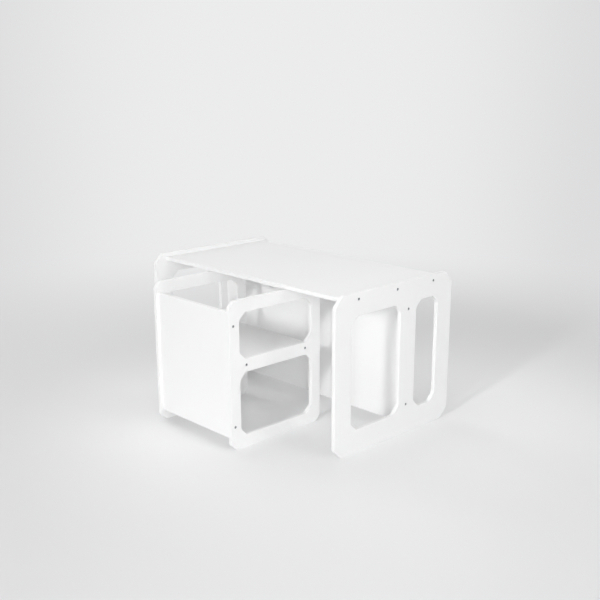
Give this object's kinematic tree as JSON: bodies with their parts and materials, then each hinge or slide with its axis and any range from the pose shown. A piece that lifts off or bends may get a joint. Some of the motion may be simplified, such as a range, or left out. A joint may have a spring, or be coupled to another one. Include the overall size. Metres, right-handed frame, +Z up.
{
  "type": "kids table and chair set",
  "caption": "Low white board table for small children, with cut-out side panels and a loose cube chair pushed half way under its top.",
  "frame": {"origin": "on the floor below the middle of the whole set, the chair where the picture shows it", "axes": "+X along the table, towards its right-hand side panel in the picture; +Y from the chair's back towards the rear of the table; +Z up"},
  "size_m": [0.82, 0.657, 0.4645],
  "materials": {
    "white_board": "satin white paint on board",
    "screw_zinc": "bright zinc plate"
  },
  "bodies": {
    "table": {"table_side_panel_left": "white_board", "table_side_panel_right": "white_board", "table_top": "white_board", "table_centre_panel": "white_board", "table_screw_left_top_front": "screw_zinc", "table_screw_left_top_middle": "screw_zinc", "table_screw_left_top_rear": "screw_zinc", "table_screw_left_post_lower": "screw_zinc", "table_screw_left_post_upper": "screw_zinc", "table_screw_right_top_front": "screw_zinc", "table_screw_right_top_middle": "screw_zinc", "table_screw_right_top_rear": "screw_zinc", "table_screw_right_post_lower": "screw_zinc", "table_screw_right_post_upper": "screw_zinc"},
    "chair": {"chair_side_frame_left": "white_board", "chair_side_frame_right": "white_board", "chair_back_panel": "white_board", "chair_seat": "white_board", "chair_screw_left_back_lower": "screw_zinc", "chair_screw_left_back_upper": "screw_zinc", "chair_screw_left_seat_back": "screw_zinc", "chair_screw_left_seat_front": "screw_zinc", "chair_screw_right_back_lower": "screw_zinc", "chair_screw_right_back_upper": "screw_zinc", "chair_screw_right_seat_back": "screw_zinc", "chair_screw_right_seat_front": "screw_zinc"}
  },
  "joints": [
    {"name": "chair_pull_out", "type": "slide", "parent": "table", "child": "chair", "axis": [0, -1, 0], "range_m": [-0.1, 0.4]}
  ]
}
